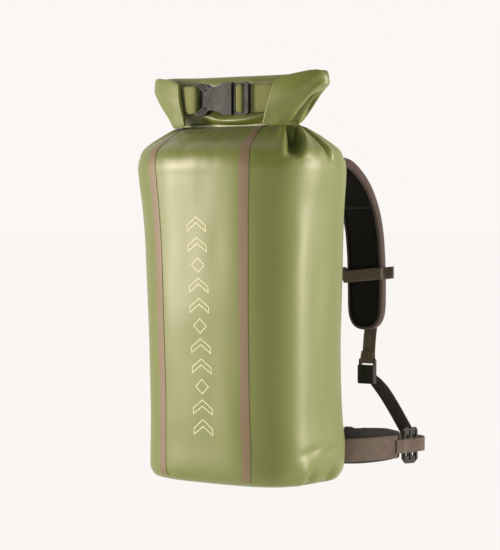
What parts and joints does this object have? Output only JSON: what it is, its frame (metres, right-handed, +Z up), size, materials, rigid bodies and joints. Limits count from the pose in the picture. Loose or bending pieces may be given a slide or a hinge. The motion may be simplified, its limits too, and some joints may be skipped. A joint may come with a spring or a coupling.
{
  "type": "roll-top dry bag backpack",
  "caption": "Upright roll-top dry bag of coated fabric, mouth rolled and clipped by a strap with a side-release buckle, with padded shoulder straps and a hip belt behind.",
  "frame": {"origin": "on the ground under the middle of the bag's base", "axes": "+Z up, +Y towards the harness at the back, +X to the right-hand side as seen from the front"},
  "size_m": [0.3022, 0.4135, 0.571],
  "materials": {
    "coated_fabric": "smooth satin coated fabric",
    "seam_tape": "dull welded tape",
    "stiffener": "plain strip",
    "closure_webbing": "woven webbing",
    "buckle_plastic": "moulded acetal, fine texture",
    "pad_foam": "fabric over closed foam",
    "pad_mesh": "spacer mesh",
    "harness_webbing": "woven webbing",
    "dark_webbing": "woven webbing"
  },
  "bodies": {
    "bag": {"base_panel": "coated_fabric", "front_panel": "coated_fabric", "side_panel_left": "coated_fabric", "side_panel_right": "coated_fabric", "back_panel": "coated_fabric", "seam_tape_left": "seam_tape", "seam_tape_right": "seam_tape", "roll_top": "coated_fabric", "mouth_stiffener": "stiffener", "closure_strap_left": "closure_webbing", "closure_strap_right": "closure_webbing", "closure_buckle_female": "buckle_plastic", "closure_buckle_male": "buckle_plastic", "harness_patch": "coated_fabric", "hip_patch": "coated_fabric", "shoulder_pad_left": "pad_foam", "shoulder_pad_right": "pad_foam", "pad_mesh_left": "pad_mesh", "pad_mesh_right": "pad_mesh", "pad_binding_left": "harness_webbing", "pad_binding_right": "harness_webbing", "shoulder_webbing_left": "harness_webbing", "shoulder_webbing_right": "harness_webbing", "lower_webbing_left": "dark_webbing", "lower_webbing_right": "dark_webbing", "hip_wing_left": "pad_foam", "hip_wing_right": "pad_foam", "hip_band_left": "harness_webbing", "hip_band_right": "harness_webbing", "hip_adjuster_left": "buckle_plastic", "hip_adjuster_right": "buckle_plastic", "hip_webbing_left": "harness_webbing", "hip_webbing_right": "harness_webbing", "hip_buckle_female": "buckle_plastic", "hip_buckle_male": "buckle_plastic"},
    "sternum_strap": {"sternum_keeper_left": "harness_webbing", "sternum_keeper_right": "harness_webbing", "sternum_strap_left": "harness_webbing", "sternum_strap_right": "harness_webbing", "sternum_buckle_female": "buckle_plastic", "sternum_buckle_male": "buckle_plastic"},
    "sternum_prong_upper": {"sternum_prong_upper": "buckle_plastic"},
    "sternum_prong_lower": {"sternum_prong_lower": "buckle_plastic"},
    "closure_prong_upper": {"closure_prong_upper": "buckle_plastic"},
    "closure_prong_lower": {"closure_prong_lower": "buckle_plastic"},
    "hip_prong_upper": {"hip_prong_upper": "buckle_plastic"},
    "hip_prong_lower": {"hip_prong_lower": "buckle_plastic"},
    "ladder_lock_left": {"ladder_lock_left": "buckle_plastic"},
    "ladder_lock_right": {"ladder_lock_right": "buckle_plastic"}
  },
  "joints": [
    {"name": "closure_prong_upper_squeeze", "type": "hinge", "parent": "bag", "child": "closure_prong_upper", "pos_m": [0.0165, -0.052, 0.548], "axis": [0, -1, 0], "range_deg": [0, 8], "stiffness_Nm_per_rad": 2},
    {"name": "closure_prong_lower_squeeze", "type": "hinge", "parent": "bag", "child": "closure_prong_lower", "pos_m": [0.0165, -0.052, 0.524], "axis": [0, 1, 0], "range_deg": [0, 8], "stiffness_Nm_per_rad": 2},
    {"name": "sternum_prong_upper_squeeze", "type": "hinge", "parent": "sternum_strap", "child": "sternum_prong_upper", "pos_m": [0.00759, 0.221, 0.29052], "axis": [0, -1, 0], "range_deg": [0, 8], "stiffness_Nm_per_rad": 0.4},
    {"name": "sternum_prong_lower_squeeze", "type": "hinge", "parent": "sternum_strap", "child": "sternum_prong_lower", "pos_m": [0.00759, 0.221, 0.27948], "axis": [0, 1, 0], "range_deg": [0, 8], "stiffness_Nm_per_rad": 0.4},
    {"name": "hip_prong_upper_squeeze", "type": "hinge", "parent": "bag", "child": "hip_prong_upper", "pos_m": [0.00957, 0.292, 0.04096], "axis": [0, -1, 0], "range_deg": [0, 8], "stiffness_Nm_per_rad": 0.6},
    {"name": "hip_prong_lower_squeeze", "type": "hinge", "parent": "bag", "child": "hip_prong_lower", "pos_m": [0.00957, 0.292, 0.02704], "axis": [0, 1, 0], "range_deg": [0, 8], "stiffness_Nm_per_rad": 0.6},
    {"name": "sternum_strap_slide", "type": "slide", "parent": "bag", "child": "sternum_strap", "axis": [0, 0, 1], "range_m": [-0.012, 0.012]},
    {"name": "ladder_lock_left_tilt", "type": "hinge", "parent": "bag", "child": "ladder_lock_left", "pos_m": [-0.07, 0.2056, 0.158], "axis": [1, 0, 0], "range_deg": [0, 20], "deforming": ["lower_webbing_left"]},
    {"name": "ladder_lock_right_tilt", "type": "hinge", "parent": "bag", "child": "ladder_lock_right", "pos_m": [0.07, 0.2056, 0.158], "axis": [1, 0, 0], "range_deg": [0, 20], "deforming": ["lower_webbing_right"]}
  ]
}
